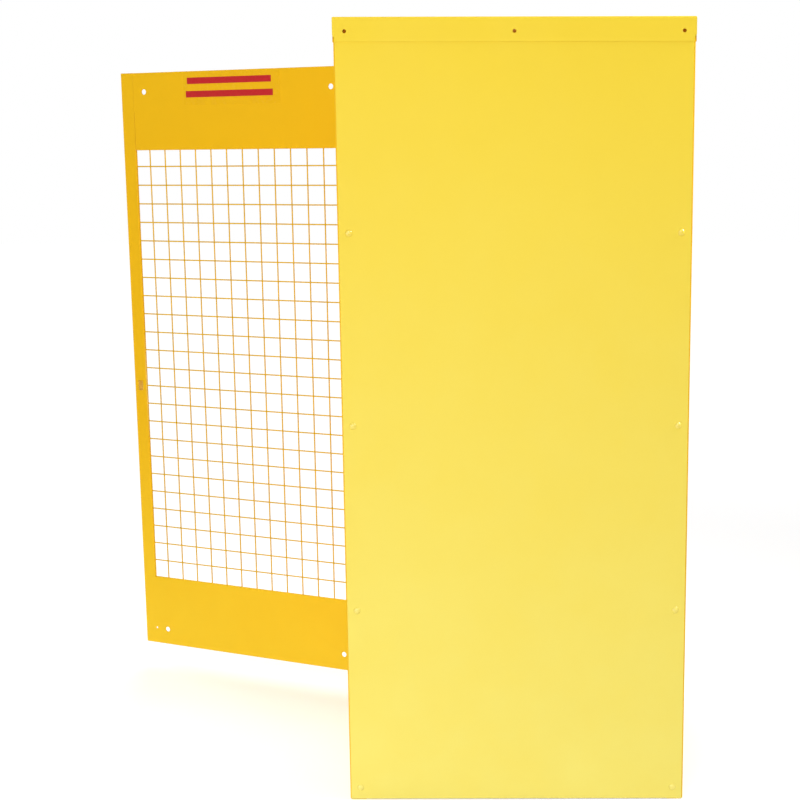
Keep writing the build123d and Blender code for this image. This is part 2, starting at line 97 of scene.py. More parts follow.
class Material:
    """A node material under construction, with short names for what its nodes do."""

    def __init__(self, name):
        self.material = bpy.data.materials.new(name)
        self.material.use_nodes = True
        self.tree = self.material.node_tree
        self.shader = self.tree.nodes["Principled BSDF"]
        coordinates = self.tree.nodes.new("ShaderNodeTexCoord")
        self.place = coordinates.outputs["Object"]

    def set(self, label, value):
        """Set a constant on the shader's own socket."""
        self.shader.inputs[label].default_value = value

    def link(self, source, target):
        self.tree.links.new(source, target)

    def noise(self, scale, detail, roughness):
        """Cloudy pattern fixed to the object: features per metre, octaves and their weight."""
        node = self.tree.nodes.new("ShaderNodeTexNoise")
        node.inputs["Scale"].default_value = scale
        node.inputs["Detail"].default_value = detail
        node.inputs["Roughness"].default_value = roughness
        self.link(self.place, node.inputs["Vector"])
        return node.outputs["Fac"]

    def measure(self, direction, start):
        """Distance from a point along a direction."""
        node = self.tree.nodes.new("ShaderNodeVectorMath")
        node.operation = "DOT_PRODUCT"
        self.link(self.place, node.inputs[0])
        node.inputs[1].default_value = direction
        return self.times(node.outputs["Value"], -start.dot(direction), "ADD")

    def along(self, axis):
        """Place on an axis, in metres."""
        node = self.tree.nodes.new("ShaderNodeSeparateXYZ")
        self.link(self.place, node.inputs["Vector"])
        return node.outputs[axis]

    def spread(self, value, low, high, to_low=0.0, to_high=1.0):
        """Map a value's range, clamped, onto another."""
        node = self.tree.nodes.new("ShaderNodeMapRange")
        self.link(value, node.inputs["Value"])
        node.inputs["From Min"].default_value = low
        node.inputs["From Max"].default_value = high
        node.inputs["To Min"].default_value = to_low
        node.inputs["To Max"].default_value = to_high
        return node.outputs["Result"]

    def times(self, first, second, kind="MULTIPLY"):
        """Multiply two values, or join them by another kind of sum."""
        node = self.tree.nodes.new("ShaderNodeMath")
        node.operation = kind
        for index, value in enumerate((first, second)):
            if isinstance(value, (int, float)):
                node.inputs[index].default_value = value
            else:
                self.link(value, node.inputs[index])
        return node.outputs[0]

    def mix(self, factor, first, second):
        """Blend two colours."""
        node = self.tree.nodes.new("ShaderNodeMix")
        node.data_type = "RGBA"
        self.link(factor, node.inputs["Factor"])
        sockets = [socket for socket in node.inputs if socket.type == "RGBA"]
        for socket, value in zip(sockets, (first, second)):
            if isinstance(value, tuple):
                socket.default_value = value
            else:
                self.link(value, socket)
        return next(socket for socket in node.outputs if socket.type == "RGBA")

    def bump(self, *layers, bend=None):
        """Stack bumps, each a height, a depth in metres and a strength, on the normal.

        A bend radius rounds the edges of folded sheet first.
        """
        normal = None
        if bend:
            node = self.tree.nodes.new("ShaderNodeBevel")
            node.inputs["Radius"].default_value = bend
            normal = node.outputs["Normal"]
        for height, depth, strength in layers:
            node = self.tree.nodes.new("ShaderNodeBump")
            node.inputs["Distance"].default_value = depth
            node.inputs["Strength"].default_value = strength
            self.link(height, node.inputs["Height"])
            if normal:
                self.link(normal, node.inputs["Normal"])
            normal = node.outputs["Normal"]
        self.link(normal, self.shader.inputs["Normal"])


# Powder coat: noise patterns (features per metre, octaves, weight of the finer ones) and
# the ranges that turn them into tone, painted floor light, sheen and relief
cloud_pattern = (2.2, 4.0, 0.55)
cloud_range = (0.35, 0.65)
cloud_share = 0.35
# Painted light: the coat grows paler towards the bottom, standing in for light bounced and mirrored from the white
# floor
painted_floor_light_pattern = (7.0, 5.0, 0.6)
painted_floor_light_range = (0.2, 0.8, 0.75, 1.0)
speck_pattern = (420.0, 3.0, 0.7)
speck_range = (0.72, 0.78)
speck_share = 0.25
sheen_pattern = (9.0, 5.0, 0.6)
sheen_range = (0.3, 0.7)
sheen_step = 0.1
peel_pattern = (650.0, 1.5, 0.4)
peel_depth = 0.1 * mm
peel_strength = 0.22
drift_pattern = (60.0, 2.0, 0.5)
drift_depth = 0.4 * mm
drift_strength = 0.10

# Zinc, rubber, film, ink and floor: the same, with tones and sheens
zinc_cloud_pattern = (90.0, 4.0, 0.6)
zinc_tone_range = (0.35, 0.7)
zinc_tones = (colour(206, 206, 200), colour(150, 149, 143))
zinc_sheen = (0.3, 0.7, 0.28, 0.48)
zinc_grain_pattern = (900.0, 2.0, 0.5)
zinc_grain_depth = 0.05 * mm
zinc_grain_strength = 0.3
rubber_cloud_pattern = (160.0, 4.0, 0.6)
rubber_tone_range = (0.4, 0.7)
rubber_tones = (colour(26, 26, 27), colour(58, 56, 53))
rubber_sheen = (0.3, 0.7, 0.62, 0.8)
rubber_grain_pattern = (1400.0, 2.0, 0.6)
rubber_grain_depth = 0.1 * mm
rubber_grain_strength = 0.35
rubber_shine = 0.35
film_cloud_pattern = (30.0, 4.0, 0.6)
film_tone_range = (0.35, 0.65)
film_tones = (colour(243, 190, 16), colour(240, 186, 16))
film_sheen = (0.0, 1.0, 0.22, 0.30)
film_ripple_pattern = (120.0, 2.0, 0.5)
film_ripple_depth = 0.2 * mm
film_ripple_strength = 0.12
film_shine = 0.2
ink_cloud_pattern = (160.0, 5.0, 0.65)
ink_tone_range = (0.35, 0.7)
ink_tones = (colour(192, 24, 30), colour(200, 36, 34))
ink_sheen = (0.0, 1.0, 0.34, 0.44)
ink_grain_pattern = (900.0, 2.0, 0.5)
ink_grain_depth = 0.05 * mm
ink_grain_strength = 0.2
ink_shine = 0.35
floor_pattern = (40.0, 3.0, 0.5)
floor_tones = ((0.80, 0.80, 0.80, 1.0), (0.82, 0.82, 0.82, 1.0))
floor_roughness = 0.9
floor_shine = 0.1


def fold_painted_light(coat, tone):
    """Tone of a coat, painted paler inside the door's latch stile round the padlock slot: painted light in that
    shaded hollow.
    """
    across = Vector((-cos(door_open_angle), -sin(door_open_angle), 0))
    outward = Vector((sin(door_open_angle), -cos(door_open_angle), 0))
    reach = coat.measure(across, hinge_pin)
    depth = coat.measure(outward, hinge_pin)
    height = coat.along("Z")
    near = coat.times(coat.spread(height, slot_light_low, slot_light_low + slot_light_blend),
                      coat.spread(height, slot_light_high, slot_light_high - slot_light_blend))
    inside = coat.times(
        coat.times(coat.spread(reach, fold_reach_start, fold_reach_start + fold_blend),
                   coat.spread(reach, fold_reach_end, fold_reach_end - fold_blend)),
        coat.times(coat.spread(depth, fold_depth_start, fold_depth_start + fold_blend),
                   coat.spread(depth, fold_depth_end, fold_depth_end - fold_blend)))
    return coat.mix(coat.times(inside, near), tone, fold_light_tone)


def powder_coat(name, tones, painted_floor_light_start, painted_floor_light_full, roughness, shine, rear_sheen_tones=None,
                fold=False, bend=True):
    """Satin powder coat: orange peel, uneven tone, and painted light that turns it paler downwards.

    The tones are the coat's own, its worn colour, and its colour where the painted floor light
    is full. That painted light stands in for light bounced and mirrored from the white floor; it
    goes from none at the start height to full at the full height, broken up by noise. The rear
    tones, paler, are painted sheen and painted light on faces that look out of the back. With
    fold, the coat is painted paler inside the door's latch stile, round the padlock slot, as
    painted light in that shaded hollow.
    """
    coat = Material(name)
    clouds = coat.times(coat.spread(coat.noise(*cloud_pattern), *cloud_range), cloud_share)
    # Painted floor light: paler by height towards the bottom, broken up by noise
    painted_floor_light = coat.spread(coat.along("Z"), painted_floor_light_start, painted_floor_light_full)
    painted_floor_light = coat.times(painted_floor_light, coat.spread(coat.noise(*painted_floor_light_pattern), *painted_floor_light_range))
    specks = coat.times(coat.spread(coat.noise(*speck_pattern), *speck_range), speck_share)

    def weathered_and_floor_lit(own, worn, floor_lit):
        tone = coat.mix(clouds, own, worn)
        return coat.mix(specks, coat.mix(painted_floor_light, tone, floor_lit), worn)

    tone = weathered_and_floor_lit(*tones)
    # Painted sheen: faces that look out of the back take a paler copy of the tones
    if rear_sheen_tones:
        rear = coat.spread(coat.along("Y"), rear_face_start, rear_face_full)
        tone = coat.mix(rear, tone, weathered_and_floor_lit(*rear_sheen_tones))
    # Painted light inside the latch stile, round the padlock slot
    if fold:
        tone = fold_painted_light(coat, tone)
    coat.link(tone, coat.shader.inputs["Base Color"])
    sheen = coat.spread(
        coat.noise(*sheen_pattern), *sheen_range, roughness, roughness + sheen_step)
    coat.link(sheen, coat.shader.inputs["Roughness"])
    peel = coat.noise(*peel_pattern)
    drift = coat.noise(*drift_pattern)
    coat.bump((drift, drift_depth, drift_strength), (peel, peel_depth, peel_strength),
              bend=sheet_bend if bend else None)
    coat.set("Specular IOR Level", shine)
    return coat.material


def zinc_plate():
    """Zinc plated steel with a faint spangle and dulled patches."""
    zinc = Material("zinc_plate")
    cloud = zinc.noise(*zinc_cloud_pattern)
    tone = zinc.mix(zinc.spread(cloud, *zinc_tone_range), *zinc_tones)
    zinc.link(tone, zinc.shader.inputs["Base Color"])
    zinc.link(zinc.spread(cloud, *zinc_sheen), zinc.shader.inputs["Roughness"])
    zinc.bump((zinc.noise(*zinc_grain_pattern), zinc_grain_depth, zinc_grain_strength))
    zinc.set("Metallic", 1.0)
    return zinc.material


def black_rubber():
    """Moulded rubber, dusty in its pores."""
    rubber = Material("black_rubber")
    cloud = rubber.noise(*rubber_cloud_pattern)
    tone = rubber.mix(rubber.spread(cloud, *rubber_tone_range), *rubber_tones)
    rubber.link(tone, rubber.shader.inputs["Base Color"])
    rubber.link(rubber.spread(cloud, *rubber_sheen), rubber.shader.inputs["Roughness"])
    rubber.bump((rubber.noise(*rubber_grain_pattern), rubber_grain_depth, rubber_grain_strength))
    rubber.set("Specular IOR Level", rubber_shine)
    return rubber.material


def clear_film():
    """Clear film on the yellow paint, smoother than the paint and with a faint ripple."""
    patch = Material("clear_film")
    cloud = patch.spread(patch.noise(*film_cloud_pattern), *film_tone_range)
    tone = patch.mix(cloud, *film_tones)
    patch.link(tone, patch.shader.inputs["Base Color"])
    patch.link(patch.spread(cloud, *film_sheen), patch.shader.inputs["Roughness"])
    patch.bump((patch.noise(*film_ripple_pattern), film_ripple_depth, film_ripple_strength))
    patch.set("Specular IOR Level", film_shine)
    return patch.material


def screen_ink():
    """Red screen ink, thinner in places."""
    ink = Material("screen_ink")
    cloud = ink.spread(ink.noise(*ink_cloud_pattern), *ink_tone_range)
    tone = ink.mix(cloud, *ink_tones)
    ink.link(tone, ink.shader.inputs["Base Color"])
    ink.link(ink.spread(cloud, *ink_sheen), ink.shader.inputs["Roughness"])
    ink.bump((ink.noise(*ink_grain_pattern), ink_grain_depth, ink_grain_strength))
    ink.set("Specular IOR Level", ink_shine)
    return ink.material


def studio_floor():
    """White floor that keeps a faint shadow and carries on into the white background.

    The camera alone sees its glow, so that the glow puts no light on the cabinet.
    """
    floor = Material("studio_floor")
    grain = floor.noise(*floor_pattern)
    tone = floor.mix(grain, *floor_tones)
    floor.link(tone, floor.shader.inputs["Base Color"])
    floor.set("Roughness", floor_roughness)
    floor.set("Specular IOR Level", floor_shine)
    rays = floor.tree.nodes.new("ShaderNodeLightPath")
    glow = floor.tree.nodes.new("ShaderNodeEmission")
    away = floor.tree.nodes.new("ShaderNodeVectorMath")
    away.operation = "LENGTH"
    floor.link(floor.place, away.inputs[0])
    strength = floor.spread(
        away.outputs["Value"], near_floor, far_floor, near_floor_glow, far_floor_glow)
    floor.link(floor.times(rays.outputs["Is Camera Ray"], strength), glow.inputs["Strength"])
    both = floor.tree.nodes.new("ShaderNodeAddShader")
    floor.link(floor.shader.outputs["BSDF"], both.inputs[0])
    floor.link(glow.outputs["Emission"], both.inputs[1])
    output = floor.tree.nodes["Material Output"]
    floor.link(both.outputs["Shader"], output.inputs["Surface"])
    return floor.material


# Welded mesh
mesh_pitch = 50.8 * mm
lip_overlap = 5.0 * mm
wire_sides = 12
upright_parts = 90
level_parts = 50
wire_unevenness = 0.3 * mm
unevenness_per_metre = 9.0
unevenness_octaves = 1.0
mesh_seed = 7
dab_segments = 8
dab_rings = 6
dab_least = 0.85
dab_most = 1.2
crossing_dab = (1.25, 0.75, 1.25)
level_end_dab = (0.9, 1.25, 1.5)
upright_end_dab = (1.7, 0.8, 1.6)
upright_end_sink = -0.8

# Bolts and nuts of the rear panel
bolt_rows = 4
bolt_radius = 4.0 * mm
bolt_neck = 8.0 * mm
bolt_head_radius = 8.0 * mm
bolt_shank_length = 9.5 * mm
neck_edge = 0.3 * mm
head_sides = 32
thread_sides = 20
# Outline of the head, in shares of its radius and of its height
dome_outline = (
    (1.0, 0.0), (0.96, 0.12), (0.86, 0.34), (0.75, 0.555), (0.65, 0.73), (0.525, 0.87),
    (0.35, 0.96), (0.17, 0.99), (0.06, 1.0))
thread_pitch = 1.25 * mm
thread_depth = 0.6 * mm
nut_across_flats = 13.0 * mm
nut_height = 6.5 * mm
nut_face_share = 0.97
nut_chamfer_slope = 0.58
nut_sides = 36

# Welds
bead_ripple = 1.3 * mm
bead_width = 3.6 * mm
bead_end_gap = 9.0 * mm
bead_least = 0.88
bead_most = 1.08
bead_seed = 3
rail_face_height = 40.0 * mm
rail_stitches = 5
stitch_length = 25.0 * mm

# Rubber pads
pad_count = 3
pad_height = 20.0 * mm
pad_edge = 0.5 * mm
pad_ribs = 4
pad_rib = 0.7 * mm
pad_rib_edge = 0.42 * mm
block_edge_segments = 3

# Film patch, measured from the door's free edge and down from its top
film_left = 210.0 * mm
film_right = 518.0 * mm
film_above = 4.0 * mm
film_below = 89.0 * mm
film_thickness = 0.15 * mm
ink_thickness = 0.05 * mm
plate_edge_share = 0.4
bar_height = 17.0 * mm
upper_bar_left = 222.0 * mm
upper_bar_right = 491.0 * mm
upper_bar_above = 17.0 * mm
lower_bar_left = 217.0 * mm
lower_bar_right = 496.0 * mm
lower_bar_above = 52.0 * mm

# Studio: glow of the floor at two distances from the origin, its half width, and the
# surroundings as a light and as the camera sees them
near_floor_glow = 0.38
far_floor_glow = 0.68
near_floor = 1.6
far_floor = 4.0
floor_half = 30.0
world_light = 0.45
world_seen = 1.0
white = (1, 1, 1, 1)
view_reach = 200.0

# Lamps, in metres and watts
lamps = {
    "key_light": {
        "place": (0.7, 5.0, 2.8), "aim": (0, 0.3, 0.9), "width": 2.6, "height": 2.2,
        "power": 80, "spread": pi, "glints": True},
    "side_light": {
        "place": (2.9, 4.6, 0.9), "aim": (0.5, -0.2, 0.4), "width": 2.0, "height": 1.6,
        "power": 55, "spread": pi, "glints": True},
    "edge_light": {
        "place": (-2.2, 0.46, 3.2), "aim": (0.0, 0.38, 1.2), "width": 0.6, "height": 1.0,
        "power": 18, "spread": radians(90), "glints": True},
    "front_light": {
        "place": (0.5, -4.5, 3.2), "aim": (0.2, -0.3, 0.9), "width": 3.0, "height": 2.2,
        "power": 22, "spread": radians(75), "glints": False},
    "right_light": {
        "place": (3.6, -2.4, 2.4), "aim": (0.4, 0.0, 0.8), "width": 1.8, "height": 1.8,
        "power": 13, "spread": radians(60), "glints": False},
}

# Coats: inside of the latch stile, painted paler round the padlock slot as painted light in its shade
stile_low, stile_high = closed_box("door_latch_stile")
fold_edge = 0.7 * mm
fold_blend = 0.2 * mm
fold_reach_start = hinge_pin.x - stile_high.x
fold_reach_end = hinge_pin.x - stile_low.x - fold_edge
fold_depth_start = hinge_pin.y - stile_high.y + fold_edge
fold_depth_end = hinge_pin.y - stile_low.y - fold_edge
# Painted light: the pale tone that lights the shaded hollow behind the padlock slot
fold_light_tone = colour(249, 220, 130)
slot_light_low = 0.66
slot_light_high = 0.98
slot_light_blend = 0.12

# Coats: bends of folded sheet, faces that look out of the back, and the tones. The rear tones are paler than the
# others: painted sheen and painted light on the rear panel
sheet_bend = 1.2 * mm
rear_face_start = 378.3 * mm
rear_face_full = 379.3 * mm
tones = (colour(239, 187, 4), colour(236, 182, 5), colour(250, 214, 72))
# Painted sheen and painted light: the rear tones are a paler copy of the same paint
rear_sheen_tones = (colour(242, 210, 51), colour(240, 206, 46), colour(243, 230, 121))
# Painted light: the door's tones are a brighter copy of the cabinet's paint
door_lit_tones = (colour(244, 191, 20), colour(241, 186, 18), colour(255, 213, 46))
wire_tones = (colour(230, 184, 4), colour(224, 176, 4), colour(233, 189, 6))
# Start and full heights: where each coat's painted floor light begins and where it is full
panel_coat = powder_coat("rear_panel_coat", tones, painted_floor_light_start=1.7, painted_floor_light_full=-0.1,
                         roughness=0.42, shine=0.18, rear_sheen_tones=rear_sheen_tones)
bolt_coat = powder_coat("bolt_coat", tones, painted_floor_light_start=1.7, painted_floor_light_full=-0.1,
                        roughness=0.11, shine=1.0, rear_sheen_tones=rear_sheen_tones, bend=False)
cabinet_coat = powder_coat("cabinet_coat", tones, painted_floor_light_start=0.45, painted_floor_light_full=-0.6,
                           roughness=0.4, shine=0.18)
door_coat = powder_coat("door_coat", door_lit_tones, painted_floor_light_start=0.75, painted_floor_light_full=0.1,
                        roughness=0.36, shine=0.12, fold=True)
mesh_coat = powder_coat("mesh_coat", wire_tones, painted_floor_light_start=0.5, painted_floor_light_full=-0.3,
                        roughness=0.5, shine=0.03, bend=False)
zinc = zinc_plate()
film = clear_film()
red_ink = screen_ink()
rubber = black_rubber()


def paint_node(name, finish):
    for place in frame["nodes"][name].material_slots:
        place.material = finish


def paint_frame():
    """Give each CAD node the finish of its slot, and the rear panel and roof their own."""
    finishes = {"paint": cabinet_coat, "mesh_paint": mesh_coat, "zinc": zinc, "rubber": rubber}
    door_nodes = frame["record"]["behaviour"]["bodies"]["door"]
    for row in frame["record"]["subparts"]:
        finish = finishes[row["material_slot"]]
        if finish is cabinet_coat and row["node"] in door_nodes:
            finish = door_coat
        paint_node(row["node"], finish)
    for name in ("rear_panel", "roof_cap"):
        paint_node(name, panel_coat)


class Tree:
    """Geometry node tree under construction, with a named input for each of its sizes."""

    def __init__(self, name, **sizes):
        self.tree = bpy.data.node_groups.new(name, "GeometryNodeTree")
        kinds = {int: "NodeSocketInt", float: "NodeSocketFloat", Vector: "NodeSocketVector"}
        self.values = {}
        faces = self.tree.interface
        faces.new_socket("Geometry", in_out="INPUT", socket_type="NodeSocketGeometry")
        for label, value in sizes.items():
            label = label.replace("_", " ")
            kind = kinds.get(type(value), "NodeSocketMaterial")
            socket = faces.new_socket(label, in_out="INPUT", socket_type=kind)
            self.values[socket.identifier] = value
        faces.new_socket("Geometry", in_out="OUTPUT", socket_type="NodeSocketGeometry")
        self.inputs = self.tree.nodes.new("NodeGroupInput").outputs

    def __getitem__(self, label):
        return self.inputs[label]

    def node(self, kind, sockets, **settings):
        """Add a node, fill its named sockets with links or values, and return it."""
        node = self.tree.nodes.new(kind)
        for label, value in settings.items():
            setattr(node, label, value)
        for label, value in sockets.items():
            if isinstance(value, bpy.types.NodeSocket):
                self.tree.links.new(value, node.inputs[label])
            else:
                node.inputs[label].default_value = value
        return node

    def math(self, operation, first, second):
        return self.node("ShaderNodeMath", {0: first, 1: second}, operation=operation).outputs[0]

    def vector(self, x=0.0, y=0.0, z=0.0):
        return self.node("ShaderNodeCombineXYZ", {"X": x, "Y": y, "Z": z}).outputs[0]

    def add(self, first, second):
        return self.node("ShaderNodeVectorMath", {0: first, 1: second}, operation="ADD").outputs[0]

    def scaled(self, vector, factor):
        sockets = {0: vector, "Scale": factor}
        return self.node("ShaderNodeVectorMath", sockets, operation="SCALE").outputs[0]

    def random(self, least, most):
        """Random number for each point, between two limits."""
        sockets = {2: least, 3: most, "Seed": self["Seed"]}
        return self.node("FunctionNodeRandomValue", sockets).outputs[1]

    def ball(self, radius):
        sockets = {"Segments": dab_segments, "Rings": dab_rings, "Radius": radius}
        return self.node("GeometryNodeMeshUVSphere", sockets).outputs[0]

    def line(self, count, start, step):
        """Row of points."""
        sockets = {"Count": count, "Start Location": start, "Offset": step}
        return self.node("GeometryNodeMeshLine", sockets).outputs[0]

    def place(self, points, instance, rotation=None, scale=None):
        """Realized copies of a shape on points."""
        sockets = {"Points": points, "Instance": instance}
        if rotation is not None:
            sockets["Rotation"] = rotation
        if scale is not None:
            sockets["Scale"] = scale
        copies = self.node("GeometryNodeInstanceOnPoints", sockets).outputs[0]
        return self.node("GeometryNodeRealizeInstances", {"Geometry": copies}).outputs[0]

    def join(self, *shapes):
        node = self.tree.nodes.new("GeometryNodeJoinGeometry")
        for shape in shapes:
            self.tree.links.new(shape, node.inputs[0])
        return node.outputs[0]

    def bake(self, name, geometry, start=None):
        """Finish the tree, run it on a mesh and return the plain result as an object."""
        smooth = self.node("GeometryNodeSetShadeSmooth", {"Geometry": geometry}).outputs[0]
        real = self.node("GeometryNodeRealizeInstances", {"Geometry": smooth}).outputs[0]
        sockets = {"Geometry": real, "Material": self["Material"]}
        painted = self.node("GeometryNodeSetMaterial", sockets).outputs[0]
        self.tree.links.new(painted, self.tree.nodes.new("NodeGroupOutput").inputs[0])
        holder = bpy.data.objects.new(name, start or bpy.data.meshes.new(name))
        bpy.context.scene.collection.objects.link(holder)
        modifier = holder.modifiers.new("build", "NODES")
        modifier.node_group = self.tree
        for identifier, value in self.values.items():
            modifier[identifier] = value
        ready = bpy.context.evaluated_depsgraph_get()
        made = bpy.data.meshes.new_from_object(holder.evaluated_get(ready), depsgraph=ready)
        holder.modifiers.clear()
        holder.data = made
        return holder


def finish_piece(piece, body, slot, *replaced):
    """Put a finished piece on its body, and hide the solids it stands for."""
    if body == "door":
        piece.data.transform(swing(door_open_angle))
    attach(piece, body)
    if replaced:
        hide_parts(*replaced)


def make_weld_mesh():
    """Round wires of the door's welded mesh, slightly uneven, with a dab at every weld."""
    upright_low, upright_high = closed_box("mesh_vertical_wires")
    level_low, level_high = closed_box("mesh_horizontal_wires")
    radius = (upright_high.y - upright_low.y) / 2
    first_upright = upright_low + Vector((radius, radius, 0))
    first_level = level_low + Vector((0, radius, radius))
    upright_count = 1 + round((upright_high.x - upright_low.x - 2 * radius) / mesh_pitch)
    level_count = 1 + round((level_high.z - level_low.z - 2 * radius) / mesh_pitch)
    tree = Tree(
        "welded_mesh", Wire_Radius=radius, Pitch=mesh_pitch,
        Upright_Count=upright_count, Level_Count=level_count,
        First_Upright=first_upright, First_Level=first_level,
        Upright_Length=upright_high.z - upright_low.z, Level_Length=level_high.x - level_low.x,
        Weld_Height=(level_low.z + radius) - upright_low.z, Lip_Overlap=lip_overlap,
        Unevenness=wire_unevenness, Seed=mesh_seed, Material=mesh_coat,
    )
    profile = tree.node("GeometryNodeCurvePrimitiveCircle",
                        {"Resolution": wire_sides, "Radius": tree["Wire Radius"]}).outputs[0]

    def wire(end, parts):
        run = tree.node("GeometryNodeCurvePrimitiveLine", {"End": end}).outputs[0]
        run = tree.node("GeometryNodeResampleCurve", {"Curve": run, "Count": parts}).outputs[0]
        sockets = {"Curve": run, "Profile Curve": profile, "Fill Caps": True}
        return tree.node("GeometryNodeCurveToMesh", sockets).outputs[0]

    across = tree.vector(x=tree["Pitch"])
    upward = tree.vector(z=tree["Pitch"])
    uprights = tree.place(
        tree.line(tree["Upright Count"], tree["First Upright"], across),
        wire(tree.vector(z=tree["Upright Length"]), upright_parts))
    levels = tree.place(
        tree.line(tree["Level Count"], tree["First Level"], upward),
        wire(tree.vector(x=tree["Level Length"]), level_parts))

    def dabs(points, shape):
        scale = tree.scaled(shape, tree.random(dab_least, dab_most))
        return tree.place(points, tree.ball(tree["Wire Radius"]), scale=scale)

    between = tree.vector(y=tree.math("MULTIPLY", tree["Wire Radius"], -1.0), z=tree["Weld Height"])
    row = tree.line(tree["Upright Count"], tree.add(tree["First Upright"], between), across)
    column = tree.line(tree["Level Count"], (0, 0, 0), upward)
    crossings = dabs(tree.place(column, row), crossing_dab)
    ends = tree.line(2, tree["First Level"], tree.vector(x=tree["Level Length"]))
    level_ends = dabs(tree.place(column, ends), level_end_dab)
    upright_span = tree.math("SUBTRACT", tree["Upright Length"], tree["Lip Overlap"])
    lift = tree.vector(
        y=tree.math("MULTIPLY", tree["Wire Radius"], upright_end_sink),
        z=tree.math("MULTIPLY", tree["Lip Overlap"], 0.5))
    ends = tree.line(2, tree.add(tree["First Upright"], lift), tree.vector(z=upright_span))
    columns = tree.line(tree["Upright Count"], (0, 0, 0), across)
    upright_ends = dabs(tree.place(columns, ends), upright_end_dab)
    everything = tree.join(uprights, levels, crossings, level_ends, upright_ends)
    pattern = {"Scale": unevenness_per_metre, "Detail": unevenness_octaves}
    drift = tree.node("ShaderNodeTexNoise", pattern).outputs["Color"]
    drift = tree.scaled(tree.add(drift, (-0.5, -0.5, -0.5)), tree["Unevenness"])
    uneven = tree.node("GeometryNodeSetPosition", {"Geometry": everything, "Offset": drift})
    mesh = tree.bake("welded_wire_mesh", uneven.outputs[0])
    finish_piece(mesh, "door", "mesh_paint", "mesh_vertical_wires", "mesh_horizontal_wires")


def turned_shape(name, profile, sides, shape_radius=None):
    """Mesh turned about Z from (radius, height) points, open ends closed on the axis.

    shape_radius bends the round into another outline: it takes the angle and the radius.
    """
    made = bmesh.new()
    rings = []
    for radius, height in profile:
        ring = []
        for step in range(sides):
            angle = tau * step / sides
            reach = shape_radius(angle, radius) if shape_radius else radius
            ring.append(made.verts.new((reach * cos(angle), reach * sin(angle), height)))
        rings.append(ring)
    for first, second in zip(rings, rings[1:]):
        for step in range(sides):
            after = (step + 1) % sides
            made.faces.new((first[step], first[after], second[after], second[step]))
    made.faces.new(rings[-1])
    made.faces.new(rings[0][::-1])
    bmesh.ops.recalc_face_normals(made, faces=made.faces)
    mesh = bpy.data.meshes.new(name)
    made.to_mesh(mesh)
    made.free()
    return mesh


def joined(name, *meshes):
    """One mesh from several."""
    made = bmesh.new()
    for mesh in meshes:
        made.from_mesh(mesh)
    mesh = bpy.data.meshes.new(name)
    made.to_mesh(mesh)
    made.free()
    return mesh


def soft_block(name, low, high, edge):
    """Block between two corners with rounded edges."""
    made = bmesh.new()
    bmesh.ops.create_cube(made, size=1.0)
    for vertex in made.verts:
        share = vertex.co + Vector((0.5, 0.5, 0.5))
        vertex.co = Vector([
            low[axis] + share[axis] * (high[axis] - low[axis]) for axis in range(3)])
    bmesh.ops.bevel(made, geom=made.edges, offset=edge, segments=block_edge_segments,
                    profile=0.5, affect="EDGES")
    mesh = bpy.data.meshes.new(name)
    made.to_mesh(mesh)
    made.free()
    return mesh


def fastener_grid(name, first, column_gap, row_pitch, material):
    """Tree that copies its mesh to both columns of fasteners, pointing out of the rear panel.

    Returns the tree and its copies.
    """
    tree = Tree(name, First=first, Column_Gap=column_gap, Row_Pitch=row_pitch, Rows=bolt_rows,
                Material=material)
    column = tree.line(tree["Rows"], tree["First"], tree.vector(z=tree["Row Pitch"]))
    pair = tree.line(2, (0, 0, 0), tree.vector(x=tree["Column Gap"]))
    copies = tree.place(tree.place(column, pair), tree["Geometry"], rotation=(-pi / 2, 0, 0))
    return tree, copies


def make_bolts():
    """Domed bolts with square necks and rolled threads, painted in with the rear panel."""
    low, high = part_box("rear_panel_bolts")
    face_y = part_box("rear_panel")[1].y
    head_height = high.y - face_y
    tail = -(face_y - low.y)
    neck_end = tail + bolt_shank_length
    dome = [(bolt_head_radius * reach, head_height * height) for reach, height in dome_outline]
    half_neck = bolt_neck / 2
    neck = soft_block("bolt_neck", (-half_neck, -half_neck, neck_end),
                      (half_neck, half_neck, 0), neck_edge)
    thread = [(bolt_radius - thread_depth, tail)]
    for turn in range(int(bolt_shank_length / thread_pitch)):
        height = tail + turn * thread_pitch
        thread.append((bolt_radius, height + thread_pitch / 2))
        thread.append((bolt_radius - thread_depth, height + thread_pitch))
    bolt = joined("bolt", turned_shape("bolt_head", dome, head_sides), neck,
                  turned_shape("bolt_shank", thread, thread_sides))
    first = Vector((low.x + bolt_head_radius, face_y, low.z + bolt_head_radius))
    column_gap = high.x - low.x - 2 * bolt_head_radius
    row_pitch = (high.z - low.z - 2 * bolt_head_radius) / (bolt_rows - 1)
    tree, copies = fastener_grid("bolt_grid", first, column_gap, row_pitch, bolt_coat)
    bolts = tree.bake("rear_panel_bolt_set", copies, bolt)
    finish_piece(bolts, "cabinet", "paint", "rear_panel_bolts")


def make_nuts():
    """Zinc plated hexagon nuts with chamfered corners, on the bolts inside the posts."""
    low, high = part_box("rear_panel_nuts")
    flat = nut_across_flats / 2
    corner = flat / cos(pi / 6)
    chamfer = (corner - flat) * nut_chamfer_slope

    def hexagon(angle, radius):
        if radius < flat:
            return radius
        return flat / cos(angle % (pi / 3) - pi / 6)

    profile = [
        (bolt_radius, 0), (nut_face_share * flat, 0), (corner, chamfer),
        (corner, nut_height - chamfer), (nut_face_share * flat, nut_height),
        (bolt_radius, nut_height),
    ]
    nut = turned_shape("nut", profile, nut_sides, hexagon)
    first = Vector((low.x + corner, high.y, low.z + flat))
    column_gap = high.x - low.x - 2 * corner
    row_pitch = (high.z - low.z - 2 * flat) / (bolt_rows - 1)
    tree, copies = fastener_grid("nut_grid", first, column_gap, row_pitch, zinc)
    nuts = tree.bake("rear_panel_nut_set", copies, nut)
    finish_piece(nuts, "cabinet", "zinc", "rear_panel_nuts")


